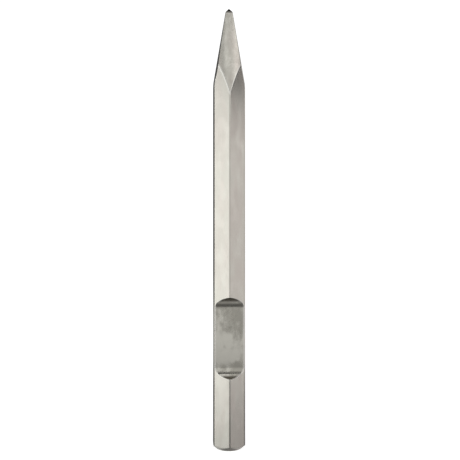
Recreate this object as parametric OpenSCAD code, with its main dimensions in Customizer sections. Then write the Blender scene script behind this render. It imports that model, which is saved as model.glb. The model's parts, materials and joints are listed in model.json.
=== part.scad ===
// Pointed chisel, or bull point, for an electric jackhammer: one bar of hexagonal steel, forged and
// ground to a blunt four-sided point, with a retainer notch milled in one corner of its shank.
// The real tool is a single piece of steel, so it is one solid in one node.
//
// Frame: the origin is the centre of the flat striking face, and +Z runs up the bar's axis to the
// point. The hexagon has a corner on -Y, which carries the notch, and flats on +X and -X.
// Lengths are in millimetres and angles in degrees.

/* [Hexagonal bar] */
// Overall length, from the striking face to the tip
bar_len = 402; // [300:1:600]
// Width across the flats
across_flats = 28.6; // [27:0.1:32]
// Radius of the six long corners
corner_r = 2.2; // [1:0.1:4]

/* [Striking end] */
// Diameter of the flat striking face
striking_face_d = 22.6; // [14:0.2:26]
// Slope of the chamfer around the striking face, measured from that face
chamfer_angle = 40; // [20:1:60]

/* [Retainer notch] */
// Height of the floor's lower end above the striking face
notch_floor_z = 75; // [40:1:110]
// Length of the flat floor
notch_floor_len = 54; // [20:1:80]
// Distance from the bar's axis to the floor
notch_floor_dist = 9; // [8:0.1:12]
// Radius of the cove at each end of the floor
notch_cove_r = 10; // [9:0.1:14]

/* [Point] */
// Angle between each of the four long facets and the bar's axis
facet_angle = 9.7; // [8:0.1:14]
// Radius of each facet's slight crown, across the facet
facet_crown_r = 40; // [34:1:200]
// Width across the facets where the blunt tip begins
tip_w = 6.6; // [4:0.1:10]
// Angle between opposite faces of the blunt tip, a low four-sided pyramid
tip_angle = 80; // [60:1:110]

/* [Hidden] */
$fn = 96;
slack = 2; // how far a cutting shape reaches past the metal that it removes

// From the axis to where the flats would meet in a sharp corner. The bar lies within this radius.
sharp_r = across_flats / 2 / cos(30);

// Each long corner is an arc that crosses the flats on its two sides at this slight angle.
corner_crossing = 8;
corner_centre = (across_flats / 2 - corner_r * cos(corner_crossing)) / cos(30);

chamfer_h = (sharp_r - striking_face_d / 2) * tan(chamfer_angle);

// The long facets begin this far below the tip, at half of tip_w from the axis.
tip_h = tip_w / 2 / tan(tip_angle / 2);
facet_h = (sharp_r - tip_w / 2) / tan(facet_angle);

// What is cut from a sharp corner on +X to leave the corner's arc.
module corner_waste() {
    difference() {
        translate([corner_centre + corner_r * cos(30), -corner_r])
            square(2 * corner_r);
        translate([corner_centre, 0])
            circle(r = corner_r);
    }
}

// Cross-section of the bar, with a corner on -Y.
module hex_profile() {
    difference() {
        rotate(30)
            circle(r = sharp_r, $fn = 6);
        for (corner = [0 : 5])
            rotate(60 * corner + 30)
                corner_waste();
    }
}

// The round envelope of the bar, with the striking face and the conical chamfer around it.
module striking_envelope() {
    rotate_extrude()
        polygon([
            [0, 0],
            [striking_face_d / 2, 0],
            [sharp_r, chamfer_h],
            [sharp_r, bar_len + slack],
            [0, bar_len + slack]
        ]);
}

// What is ground away outside the long facet on the +X side. The facet is a strip of a large
// cylinder that leans in to the axis, straight along its length and slightly crowned across it.
module facet_waste() {
    translate([0, 0, bar_len - tip_h])
        difference() {
            translate([0, -sharp_r - slack, -facet_h - slack])
                cube([sharp_r + slack, 2 * (sharp_r + slack), facet_h + tip_h + 2 * slack]);
            translate([tip_w / 2, 0, 0])
                rotate([0, -facet_angle, 0])
                    translate([-facet_crown_r, 0, 0])
                        cylinder(r = facet_crown_r, h = 3 * facet_h, center = true);
        }
}

// What is ground away outside the flat face of the blunt tip on the +X side.
module tip_face_waste() {
    translate([0, 0, bar_len])
        rotate([0, -tip_angle / 2, 0])
            translate([0, -sharp_r, -2 * tip_w])
                cube([sharp_r, 2 * sharp_r, 2 * tip_w + slack]);
}

// What is milled out of the -Y corner for the retainer: a flat floor with a cove at each end.
module notch_waste() {
    rotate([90, 0, 90])
        linear_extrude(2 * sharp_r, center = true)
            translate([-notch_floor_dist, notch_floor_z]) {
                for (z = [0, notch_floor_len])
                    translate([-notch_cove_r, z])
                        circle(r = notch_cove_r);
                translate([-sharp_r, 0])
                    square([sharp_r, notch_floor_len]);
            }
}

module pointed_chisel() {
    color("silver")
        difference() {
            intersection() {
                linear_extrude(bar_len)
                    hex_profile();
                striking_envelope();
            }
            for (side = [0 : 3])
                rotate(90 * side) {
                    facet_waste();
                    tip_face_waste();
                }
            notch_waste();
        }
}

pointed_chisel();
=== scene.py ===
"""A pointed chisel bit of hexagonal steel, standing on its striking face in a white studio."""

import json
import math

import bpy
import numpy as np
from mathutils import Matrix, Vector, noise


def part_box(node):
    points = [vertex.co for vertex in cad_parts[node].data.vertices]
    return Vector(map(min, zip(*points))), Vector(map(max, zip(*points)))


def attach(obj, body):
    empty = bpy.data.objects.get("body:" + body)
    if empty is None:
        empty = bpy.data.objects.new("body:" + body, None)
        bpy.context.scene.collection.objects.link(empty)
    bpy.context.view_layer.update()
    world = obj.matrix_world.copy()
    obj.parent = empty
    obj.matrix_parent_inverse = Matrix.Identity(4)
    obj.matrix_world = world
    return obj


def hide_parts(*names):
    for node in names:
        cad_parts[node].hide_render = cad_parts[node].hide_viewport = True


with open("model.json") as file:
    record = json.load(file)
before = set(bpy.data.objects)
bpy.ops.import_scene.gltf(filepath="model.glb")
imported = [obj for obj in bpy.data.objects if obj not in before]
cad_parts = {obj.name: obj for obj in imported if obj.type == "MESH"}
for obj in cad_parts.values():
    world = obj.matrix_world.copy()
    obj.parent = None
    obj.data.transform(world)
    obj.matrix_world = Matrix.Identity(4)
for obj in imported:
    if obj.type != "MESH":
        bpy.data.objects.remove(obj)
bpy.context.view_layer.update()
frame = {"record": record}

MM = 0.001
NODE = "pointed_chisel"
PIECE = "chisel_bit"
SLOT = "ground_steel"

# ---------------------------------------------------------------- sizes, in millimetres
low, high = (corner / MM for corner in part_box(NODE))
mounts = {mount["name"]: mount for mount in frame["record"]["mounts"]}

LENGTH = high.z
FLAT_DIST = high.x  # from the axis to a flat
CORNER_DIST = high.y  # from the axis to the crest of a rounded corner
SHARP_DIST = FLAT_DIST / math.cos(math.radians(30))

NOTCH_FLOOR = -mounts["retainer_notch"]["pos_m"][1] / MM
NOTCH_MIDDLE = mounts["retainer_notch"]["pos_m"][2] / MM
NOTCH_HALF = 27  # half the length of the flat floor
COVE_R = 10

FACE_R = 11.3  # of the flat striking face
CHAMFER = math.radians(40)

TIP_HALF = 3.3  # from the axis to a long facet where the blunt tip begins
TIP_SLOPE = math.radians(40)
TIP_HEIGHT = TIP_HALF / math.tan(TIP_SLOPE)
FACET_SLOPE = math.radians(9.7)
CROWN_R = 40

# Edge roundings, as the width that each one takes off the two surfaces that meet.
CORNER_CUT = (SHARP_DIST - CORNER_DIST) * math.cos(math.radians(30))
CORNER_EDGE = CORNER_CUT / (1 - math.sqrt(0.5))
RIDGE_EDGE = 0.35
RUNOUT_EDGE = 0.18
NOTCH_EDGE = 0.13
CHAMFER_EDGE = 0.35
FACE_EDGE = 0.25
TIP_EDGE = 0.15
APEX_EDGE = 0.25

WAVE = 0.035  # how far the worked surfaces stray from true
WAVE_ACROSS = 11  # over this width
WAVE_ALONG = 42  # and over this height

BORDER = 0.15  # half the width over which the look of one cut gives way to the next
EDGE_HIGHLIGHT_REACH = (0.12, 0.62)  # from an edge to where its painted highlight begins to fade, and to where it ends
HALVINGS = 40  # steps of the search for the surface
FACE_RING = 0.97  # size of the ring inside the struck face's edge, which keeps the face flat


# ---------------------------------------------------------------- the bit's surface
def meet(a, b, edge):
    """The inside of both surfaces, with a rounded edge. Each value is a distance, positive outside."""
    inner = np.minimum(-edge, np.maximum(a, b))
    return inner + np.hypot(np.maximum(a + edge, 0), np.maximum(b + edge, 0))


def meet_all(distances, edge):
    """The same for a ring of surfaces, of which only neighbours meet."""
    ranked = np.sort(np.stack(distances), axis=0)
    return meet(ranked[-1], ranked[-2], edge)


def hexagon(x, y):
    turns = [math.radians(60 * side) for side in range(6)]
    return meet_all([x * math.cos(t) + y * math.sin(t) - FLAT_DIST for t in turns], CORNER_EDGE)


def long_facets(x, y, z):
    """Four facets, each a strip of a large cylinder that leans in towards the axis."""
    below = LENGTH - TIP_HEIGHT - z
    distances = []
    for side in range(4):
        turn = math.radians(90 * side)
        out = x * math.cos(turn) + y * math.sin(turn) - TIP_HALF
        across = y * math.cos(turn) - x * math.sin(turn)
        depth = out * math.cos(FACET_SLOPE) - below * math.sin(FACET_SLOPE)
        distances.append(np.hypot(np.maximum(depth + CROWN_R, 0), across) - CROWN_R)
    return meet_all(distances, RIDGE_EDGE)


def blunt_tip(x, y, z):
    """A low four-sided pyramid, in line with the long facets."""
    half_width = (LENGTH - z) * math.tan(TIP_SLOPE)
    sides = [(out - half_width) * math.cos(TIP_SLOPE) for out in (x, -x, y, -y)]
    return meet(meet_all(sides, RIDGE_EDGE), z - LENGTH, APEX_EDGE)


def struck_end(reach, z):
    cone = (reach - FACE_R) * math.sin(CHAMFER) - z * math.cos(CHAMFER)
    return meet(cone, -z, FACE_EDGE)


def notch(y, z):
    """Outside the round-ended cutter path that leaves the floor and its two coves."""
    past = np.maximum(np.abs(z - NOTCH_MIDDLE) - NOTCH_HALF, 0)
    return COVE_R - np.hypot(y + NOTCH_FLOOR + COVE_R, past)


def surfaces(x, y, z):
    """The distances outside each worked surface, in the order in which they are cut."""
    reach = np.hypot(x, y)
    return {
        "sides": (hexagon(x, y), CORNER_EDGE),
        "ground": (long_facets(x, y, z), RUNOUT_EDGE),
        "tip": (blunt_tip(x, y, z), TIP_EDGE),
        "turned": (struck_end(reach, z), CHAMFER_EDGE),
        "milled": (notch(y, z), NOTCH_EDGE),
    }


def outside(x, y, z):
    """Distance outside the bit, near enough for finding its surface."""
    body = None
    for distance, edge in surfaces(x, y, z).values():
        body = distance if body is None else meet(body, distance, edge)
    return body


def surface_reach(angle, z):
    """How far from the axis the surface is, by halving, for arrays of angles and heights."""
    near, far = np.zeros_like(z), np.full_like(z, SHARP_DIST + 1)
    for _ in range(HALVINGS):
        middle = (near + far) / 2
        inside = outside(middle * np.cos(angle), middle * np.sin(angle), z) < 0
        near, far = np.where(inside, middle, near), np.where(inside, far, middle)
    return (near + far) / 2


def smooth(value, start, stop):
    t = np.clip((value - start) / (stop - start), 0, 1)
    return t * t * (3 - 2 * t)


def worked_by(x, y, z):
    """From 0 to 1, how far each point of the surface belongs to each cut, and how near it is to an edge,
    which masks a painted highlight along the edges.
    """
    weights, edge_highlight, body = {}, np.zeros_like(z), None
    for name, (distance, edge) in surfaces(x, y, z).items():
        if body is None:
            body = distance
            continue
        cut = smooth(distance - body, -BORDER, BORDER)
        for earlier in weights:
            weights[earlier] = weights[earlier] * (1 - cut)
        weights[name] = cut
        near = np.maximum(-distance, 0) + np.maximum(-body, 0)
        edge_highlight = np.maximum(edge_highlight, 1 - smooth(near, *EDGE_HIGHLIGHT_REACH))
        body = meet(body, distance, edge)
    # the edge weight masks a painted highlight along every edge
    weights["edge"] = edge_highlight
    return weights


# ---------------------------------------------------------------- the grid
def spread(start, stop, count, crowding):
    """count steps from start to stop without the last, closer together at both ends."""
    t = np.arange(count) / count
    return start + (stop - start) * (t - crowding * np.sin(2 * np.pi * t))


def joined(places, counts, crowding):
    pairs = zip(places[:-1], places[1:])
    return np.concatenate([spread(a, b, n, crowding) for (a, b), n in zip(pairs, counts)])


def columns():
    """Angles round the axis. The long corners, the point's ridges and the notch's sides each get one."""
    half_floor = 2 * (FLAT_DIST - NOTCH_FLOOR * math.cos(math.radians(30)))
    side = math.degrees(math.atan2(NOTCH_FLOOR, half_floor))
    places = [-150, side - 180, -135, -90, -45, -side, -30, 30, 45, 90, 135, 150, 210]
    counts = [6, 8, 42, 42, 8, 6, 22, 6, 16, 16, 6, 22]
    return np.radians(joined(places, counts, 0.12))


def rows():
    """Heights, close together where the ends, the coves and the run-outs of the facets are.

    The first two are both 0, for the ring inside the struck face's edge and for the edge.
    """
    notch_low, notch_high = (NOTCH_MIDDLE + s * NOTCH_HALF for s in (-1, 1))
    places = [0, 0.6, 5, notch_low - 11, notch_low + 2, notch_high - 2, notch_high + 11,
              LENGTH - 86, LENGTH - 48, LENGTH - 6, LENGTH - 1.2, LENGTH - 0.02]
    counts = [7, 14, 18, 66, 22, 66, 46, 104, 36, 16, 8]
    return np.concatenate([places[:1], joined(places, counts, 0.05), places[-1:]])


def waviness(points):
    """The slight unevenness that rolling and hand grinding leave, inwards only."""
    scale = np.array([WAVE_ACROSS, WAVE_ACROSS, WAVE_ALONG])
    swell = np.array([noise.fractal(Vector(p), 1, 2, 3) for p in points / scale])
    return WAVE * (np.clip(swell, -1, 1) - 1) / 2


def grid_faces(shape, foot, apex):
    """Quads between the rows of a closed grid, and a fan of triangles at each end."""
    here = np.arange(shape[0] * shape[1]).reshape(shape)
    beside = np.roll(here, -1, axis=1)
    quads = np.stack([here[:-1], beside[:-1], beside[1:], here[1:]], axis=-1)
    faces = quads.reshape(-1, 4).tolist()
    faces += [(foot, b, a) for a, b in zip(here[0].tolist(), beside[0].tolist())]
    faces += [(apex, a, b) for a, b in zip(here[-1].tolist(), beside[-1].tolist())]
    return faces


def make_bit():
    angle, z = np.meshgrid(columns(), rows())
    shape = z.shape
    angle, z = angle.ravel(), z.ravel()
    reach = surface_reach(angle, z)
    reach[:shape[1]] *= FACE_RING
    weights = worked_by(reach * np.cos(angle), reach * np.sin(angle), z)
    points = np.stack([reach * np.cos(angle), reach * np.sin(angle), z], axis=-1)
    reach = reach + waviness(points) * smooth(z, 0, 3) * smooth(LENGTH - z, 0, 6)
    points = np.stack([reach * np.cos(angle), reach * np.sin(angle), z], axis=-1)

    foot, apex = len(points), len(points) + 1
    points = np.vstack([points, [[0, 0, 0], [0, 0, LENGTH]]]) * MM
    mesh = bpy.data.meshes.new(PIECE)
    mesh.from_pydata(points.tolist(), [], grid_faces(shape, foot, apex))
    mesh.shade_smooth()
    for name, weight in weights.items():
        at_caps = [weight[0], weight[-1]]
        attribute = mesh.attributes.new(name, "FLOAT", "POINT")
        attribute.data.foreach_set("value", np.concatenate([weight, at_caps]))
    mesh.update()
    piece = bpy.data.objects.new(PIECE, mesh)
    bpy.context.collection.objects.link(piece)
    return piece


# ---------------------------------------------------------------- node helpers
def connect(tree, value, socket):
    """Joins a node's output to a socket, or sets the socket to a number or colour."""
    if isinstance(value, bpy.types.NodeSocket):
        tree.links.new(value, socket)
    else:
        socket.default_value = value


def math_node(tree, operation, *values):
    node = tree.nodes.new("ShaderNodeMath")
    node.operation = operation
    for socket, value in zip(node.inputs, values):
        connect(tree, value, socket)
    return node.outputs[0]


def soft_step(tree, value, start, stop, low=0, high=1):
    """low before start, high after stop and smooth between them."""
    node = tree.nodes.new("ShaderNodeMapRange")
    node.interpolation_type = "SMOOTHSTEP"
    for name, number in (("From Min", start), ("From Max", stop), ("To Min", low), ("To Max", high)):
        node.inputs[name].default_value = number
    tree.links.new(value, node.inputs["Value"])
    return node.outputs["Result"]


def mix_number(tree, weight, below, above):
    node = tree.nodes.new("ShaderNodeMix")
    node.data_type = "FLOAT"
    for socket, value in zip((node.inputs[0], node.inputs[2], node.inputs[3]), (weight, below, above)):
        connect(tree, value, socket)
    return node.outputs[0]


def mix_colour(tree, weight, below, above):
    node = tree.nodes.new("ShaderNodeMix")
    node.data_type = "RGBA"
    for socket, value in zip((node.inputs[0], node.inputs[6], node.inputs[7]), (weight, below, above)):
        connect(tree, value, socket)
    return node.outputs[2]


def grain(tree, place, size, turn=(0, 0, 0), detail=3, roughness=0.5):
    """Noise whose blotches measure size, in millimetres along X, Y and Z, after a turn in degrees."""
    mapping = tree.nodes.new("ShaderNodeMapping")
    mapping.vector_type = "TEXTURE"
    mapping.inputs["Rotation"].default_value = [math.radians(angle) for angle in turn]
    mapping.inputs["Scale"].default_value = [length * MM for length in size]
    tree.links.new(place, mapping.inputs["Vector"])
    node = tree.nodes.new("ShaderNodeTexNoise")
    node.inputs["Scale"].default_value = 1
    node.inputs["Detail"].default_value = detail
    node.inputs["Roughness"].default_value = roughness
    tree.links.new(mapping.outputs[0], node.inputs["Vector"])
    return node.outputs["Fac"]


def coordinate(tree, place, axis):
    node = tree.nodes.new("ShaderNodeSeparateXYZ")
    tree.links.new(place, node.inputs[0])
    return node.outputs[axis]


def turned_place(tree, place):
    """A place's distance from the bar's axis, as X, and its height, as Z."""
    flat = tree.nodes.new("ShaderNodeVectorMath")
    flat.operation = "MULTIPLY"
    flat.inputs[1].default_value = (1, 1, 0)
    tree.links.new(place, flat.inputs[0])
    length = tree.nodes.new("ShaderNodeVectorMath")
    length.operation = "LENGTH"
    tree.links.new(flat.outputs["Vector"], length.inputs[0])
    joined_up = tree.nodes.new("ShaderNodeCombineXYZ")
    tree.links.new(length.outputs["Value"], joined_up.inputs["X"])
    tree.links.new(coordinate(tree, place, "Z"), joined_up.inputs["Z"])
    return joined_up.outputs[0]


def attribute(tree, name):
    node = tree.nodes.new("ShaderNodeAttribute")
    node.attribute_name = name
    return node.outputs["Fac"]


# ---------------------------------------------------------------- steel
CLEAN = (0.70, 0.675, 0.615, 1)
WARM = (0.70, 0.655, 0.60, 1)
MILLED = (0.70, 0.675, 0.61, 1)
# the colour of stains, and of the painted shade at the top of the notch's floor
STAIN_AND_SHADE = (0.36, 0.34, 0.29, 1)
# dark colour of the grime in scratches, and of painted shade in the coves and at the tip
GRIME_AND_SHADE = (0.16, 0.145, 0.12, 1)
BURNT = (0.36, 0.345, 0.315, 1)
# the colour of the painted highlight along the edges
PAINTED_HIGHLIGHT = (0.86, 0.84, 0.79, 1)

UPPER_SHADE = (NOTCH_MIDDLE - 5, NOTCH_MIDDLE + 14)  # heights over which painted shade grows upwards on the notch's floor
LOWER_STAIN = (NOTCH_MIDDLE - 18, NOTCH_MIDDLE - 27)  # and over which the stain grows downwards
COVE_SHADE = NOTCH_HALF + 6  # from the notch's middle to where the painted shade deep in its coves begins
SHADE_BAND_HEIGHT = NOTCH_MIDDLE - 31.2  # the height of a painted dark band across the lower cove
BURNT_BAND = (26, 4)  # from the tip to where the light burning begins, and to where it is full
TIP_SHADE_BAND = (4.9, 4.3)  # the same for painted shade over the blunt tip and just under it, which darkens the highlights of its rounded base
MARK_DEPTH = 0.005  # of the brush marks, cuts and turned rings


def away_from(tree, height, level):
    return math_node(tree, "ABSOLUTE", math_node(tree, "SUBTRACT", height, level * MM))


def product(tree, *factors):
    value = factors[0]
    for factor in factors[1:]:
        value = math_node(tree, "MULTIPLY", value, factor)
    return value


def painted(tree, colour, layers):
    """The colour with others laid over it, each with its own weight."""
    for weight, above in layers:
        colour = mix_colour(tree, weight, colour, above)
    return colour


def stain_and_shade_field(tree, place, height):
    """Stain blotches, heavier towards the lower end of the notch's floor and towards its right side,
    with painted shade that darkens the floor towards its top end and lightens it lower down.
    """
    blotches = grain(tree, place, (8, 8, 14), detail=5, roughness=0.55)
    upper, lower = ([level * MM for level in band] for band in (UPPER_SHADE, LOWER_STAIN))
    # painted shade: the floor lighter lower down and darker towards its top end
    shade_to_top = soft_step(tree, height, *upper, -0.14, 0.09)
    to_foot = soft_step(tree, height, *lower, 0, 0.2)
    stain_and_shade_to_ends = math_node(tree, "ADD", shade_to_top, to_foot)
    across = coordinate(tree, place, "X")
    to_side = soft_step(tree, across, -FLAT_DIST * MM, FLAT_DIST * MM, -0.08, 0.07)
    return math_node(tree, "ADD", blotches, math_node(tree, "ADD", stain_and_shade_to_ends, to_side))


def notch_painted_shade(tree, height, milled):
    """Painted shade in the far parts of both coves, and a painted dark band across the lower cove."""
    off_middle = away_from(tree, height, NOTCH_MIDDLE)
    corner = soft_step(tree, off_middle, COVE_SHADE * MM, (COVE_SHADE + 2.5) * MM)
    # painted dark band across the lower cove
    line = soft_step(tree, away_from(tree, height, SHADE_BAND_HEIGHT), 1.4 * MM, 0.5 * MM, 0, 0.4)
    return product(tree, math_node(tree, "MAXIMUM", corner, line), milled, 0.95)


def near_tip(tree, height, band, strongest):
    """Rises from 0 to its strongest over a band, which is given by two distances from the tip."""
    start, stop = ((LENGTH - distance) * MM for distance in band)
    return soft_step(tree, height, start, stop, 0, strongest)


def steel():
    material = bpy.data.materials.new(SLOT)
    material.use_nodes = True
    tree = material.node_tree
    shader = tree.nodes["Principled BSDF"]
    shader.inputs["Metallic"].default_value = 1
    place = tree.nodes.new("ShaderNodeTexCoord").outputs["Object"]
    height = coordinate(tree, place, "Z")
    ground, milled, turned = (attribute(tree, name) for name in ("ground", "milled", "turned"))
    tip, edge = (attribute(tree, name) for name in ("tip", "edge"))

    clouds = grain(tree, place, (9, 9, 30), detail=4)
    patches = soft_step(tree, grain(tree, place, (3, 3, 5), detail=4), 0.35, 0.6, 0.3, 1)
    # stain blotches, with painted shade towards the top of the notch's floor
    blotches = stain_and_shade_field(tree, place, height)
    stain_and_shade = soft_step(tree, blotches, 0.38, 0.66)
    stained_and_shaded = product(tree, stain_and_shade, mix_number(tree, milled, 0.12, 0.55))
    dirt_and_shade = math_node(tree, "ADD", stained_and_shaded, product(tree, ground, patches, 0.16))
    scratches = grain(tree, place, (9, 9, 0.35), turn=(0, -38, 0), detail=2)
    scratched = soft_step(tree, scratches, 0.58, 0.72)
    burnt = near_tip(tree, height, BURNT_BAND, 0.3)
    # painted shade over the blunt tip and a narrow band under it
    tip_shade = near_tip(tree, height, TIP_SHADE_BAND, 0.85)
    off_tip = math_node(tree, "SUBTRACT", 1, math_node(tree, "MAXIMUM", tip, tip_shade))

    colour = painted(tree, CLEAN, [
        (soft_step(tree, clouds, 0.35, 0.65), WARM),
        (milled, MILLED),
        # stains, and painted shade at the top of the notch's floor
        (dirt_and_shade, STAIN_AND_SHADE),
        # painted shade deep in the coves, and a painted dark band across the lower cove
        (notch_painted_shade(tree, height, milled), GRIME_AND_SHADE),
        (product(tree, burnt, patches), BURNT),
        # painted shade at the tip's rounded base
        (tip_shade, GRIME_AND_SHADE),
        (product(tree, tip, 0.9), BURNT),
        (product(tree, scratched, milled, stain_and_shade, 0.5), GRIME_AND_SHADE),
        # painted highlight: bright colour along the edges, away from the tip
        (product(tree, edge, soft_step(tree, blotches, 0.3, 0.6, 0.35, 0.8), off_tip), PAINTED_HIGHLIGHT),
    ])
    tree.links.new(colour, shader.inputs["Base Color"])

    rough = soft_step(tree, clouds, 0.3, 0.7, 0.15, 0.21)
    rough = mix_number(tree, milled, rough, soft_step(tree, blotches, 0.3, 0.7, 0.14, 0.24))
    rough = math_node(tree, "ADD", rough, product(tree, dirt_and_shade, 0.1))
    tree.links.new(rough, shader.inputs["Roughness"])
    tree.links.new(marks(tree, place, milled, turned, scratched), shader.inputs["Normal"])
    return material


def marks(tree, place, milled, turned, scratched):
    """Brush marks along the bar, cuts on the notch's floor and rings on the turned end."""
    off_middle = away_from(tree, coordinate(tree, place, "Z"), NOTCH_MIDDLE)
    on_floor = soft_step(tree, off_middle, NOTCH_HALF * MM, (NOTCH_HALF + 1.5) * MM, 1, 0)
    brushed = grain(tree, place, (0.5, 0.5, 26), detail=2)
    rings = grain(tree, turned_place(tree, place), (0.3, 40, 40), detail=3)
    lines = mix_number(tree, milled, brushed, product(tree, scratched, on_floor))
    bump = tree.nodes.new("ShaderNodeBump")
    bump.inputs["Strength"].default_value = 1
    bump.inputs["Distance"].default_value = MARK_DEPTH * MM
    tree.links.new(mix_number(tree, turned, lines, rings), bump.inputs["Height"])
    return bump.outputs[0]


bit = make_bit()
bit.data.materials.append(steel())
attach(bit, "root")
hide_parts(NODE)


# ---------------------------------------------------------------- floor
FLOOR_HALF = 4  # half its width, in metres
FLOOR_GAP = 0.1  # between it and the struck face, in millimetres


def make_floor():
    mesh = bpy.data.meshes.new("floor")
    corners = [(x * FLOOR_HALF, y * FLOOR_HALF, 0) for x, y in ((-1, -1), (1, -1), (1, 1), (-1, 1))]
    mesh.from_pydata(corners, [], [(0, 1, 2, 3)])
    floor = bpy.data.objects.new("floor", mesh)
    floor.location.z = -FLOOR_GAP * MM
    floor.visible_glossy = False
    bpy.context.collection.objects.link(floor)
    pale = bpy.data.materials.new("pale_floor")
    pale.use_nodes = True
    shader = pale.node_tree.nodes["Principled BSDF"]
    shader.inputs["Base Color"].default_value = (0.9, 0.9, 0.9, 1)
    shader.inputs["Specular IOR Level"].default_value = 0
    shader.inputs["Emission Color"].default_value = (1, 1, 1, 1)
    shader.inputs["Emission Strength"].default_value = 0.85
    mesh.materials.append(pale)


make_floor()


# ---------------------------------------------------------------- camera
CAMERA_DIST = 0.6825
CAMERA_HEIGHT = 0.1993
CAMERA_TURN = math.radians(3.55)
CAMERA_LENS = 58.32
CAMERA_SHIFT = 0.0023


def make_camera():
    data = bpy.data.cameras.new("camera")
    data.sensor_width = 36
    data.lens = CAMERA_LENS
    data.shift_x = CAMERA_SHIFT
    camera = bpy.data.objects.new("camera", data)
    bpy.context.collection.objects.link(camera)
    toward = Vector((-math.sin(CAMERA_TURN), -math.cos(CAMERA_TURN), 0))
    camera.location = toward * CAMERA_DIST + Vector((0, 0, CAMERA_HEIGHT))
    camera.rotation_euler = (math.radians(90), 0, -CAMERA_TURN)
    bpy.context.scene.camera = camera


make_camera()

# ---------------------------------------------------------------- studio light
# Panels of light round the bit, each painted over those before it: azimuth of its middle, half its
# width, its lower and upper edge, the softness of its sides and of its edges, all in degrees, and
# its brightness. Azimuth 0 is towards -Y and 90 towards +X.
PANELS = [
    ("floor's glow", 180, 128, -58, -24, 30, 10, 0.50),
    ("left wall", -59, 12, -17.5, 42, 5, 19, 1.19),
    ("left wall's top", -59, 12, 10.4, 42, 5, 2, 0.71),
    ("left wall's far side", -66, 4, -19, 42, 4, 10, 1.50),
    ("left wall's near side", -49, 3, -12, 9, 4, 4, 1.35),
    ("front wall", -1, 43, -11, 26, 5, 3, 0.68),
    ("front wall's foot", -5, 47, -15.5, -11, 5, 4, 0.36),
    ("hood", 4, 40, 29.2, 36.9, 8, 4, 1.06),
    ("hood's left side", -20, 10, 22, 36.9, 8, 3, 0.63),
    ("hood's right side", 24, 8, 24, 39.5, 6, 3, 1.24),
    ("left lamp", -36, 8, 13, 26, 6, 4, 1.40),
    ("right wall", 60, 18, -22, 9.6, 5, 1.5, 0.76),
    ("right wall's top", 60, 18, 6, 9.5, 5, 2, 0.98),
    ("right wall's foot", 60, 18, -22, -12, 5, 3, 0.47),
    ("gap beside the foot", 88, 18, -24, -12, 5, 3, 0.05),
    ("ceiling", 5, 60, 54.5, 84, 20, 4, 0.80),
    ("low table", 5, 60, -47, -23, 20, 4, 0.13),
    ("table", 5, 60, -78, -48, 20, 5, 0.44),
    ("table behind", 180, 60, -68, -50, 20, 4, 0.25),
    ("back right wall", 130, 50, -11, 30, 6, 3, 0.60),
    ("back left wall", -128, 52, -11, 30, 6, 3, 0.10),
    ("back left lamp", -128, 50, -10.5, -5, 6, 3, 0.45),
    ("back left wall's foot", -112, 36, -22, -11, 6, 3, 0.22),
]
DIM = 0.06  # the brightness between the panels
BACKDROP = 1.1  # the brightness that the camera sees behind the bit
LEFT_TINT = (0.985, 1, 0.99, 1)
RIGHT_TINT = (1, 0.985, 0.985, 1)


def studio_world():
    world = bpy.data.worlds.new("studio")
    world.use_nodes = True
    tree = world.node_tree
    direction = tree.nodes.new("ShaderNodeTexCoord").outputs["Generated"]
    split = tree.nodes.new("ShaderNodeSeparateXYZ")
    tree.links.new(direction, split.inputs[0])
    x, y, z = split.outputs
    azimuth = math_node(tree, "ARCTAN2", x, product(tree, y, -1))
    azimuth = math_node(tree, "DEGREES", azimuth)
    elevation = math_node(tree, "DEGREES", math_node(tree, "ARCSINE", z))
    light = DIM
    for _, middle, half, bottom, top, side_soft, edge_soft, brightness in PANELS:
        away = math_node(tree, "SUBTRACT", azimuth, middle)
        away = math_node(tree, "ABSOLUTE", math_node(tree, "WRAP", away, -180, 180))
        across = soft_step(tree, away, half + side_soft / 2, half - side_soft / 2)
        above = soft_step(tree, elevation, bottom - edge_soft / 2, bottom + edge_soft / 2)
        below = soft_step(tree, elevation, top + edge_soft / 2, top - edge_soft / 2)
        light = mix_number(tree, product(tree, above, below, across), light, brightness)
    seen = tree.nodes.new("ShaderNodeLightPath").outputs["Is Camera Ray"]
    strength = mix_number(tree, seen, light, BACKDROP)
    tree.links.new(strength, tree.nodes["Background"].inputs["Strength"])
    tint = mix_colour(tree, soft_step(tree, azimuth, -20, 50), LEFT_TINT, RIGHT_TINT)
    tint = mix_colour(tree, seen, tint, (1, 1, 1, 1))
    tree.links.new(tint, tree.nodes["Background"].inputs["Color"])
    bpy.context.scene.world = world


studio_world()
bpy.context.scene.view_settings.view_transform = "Standard"
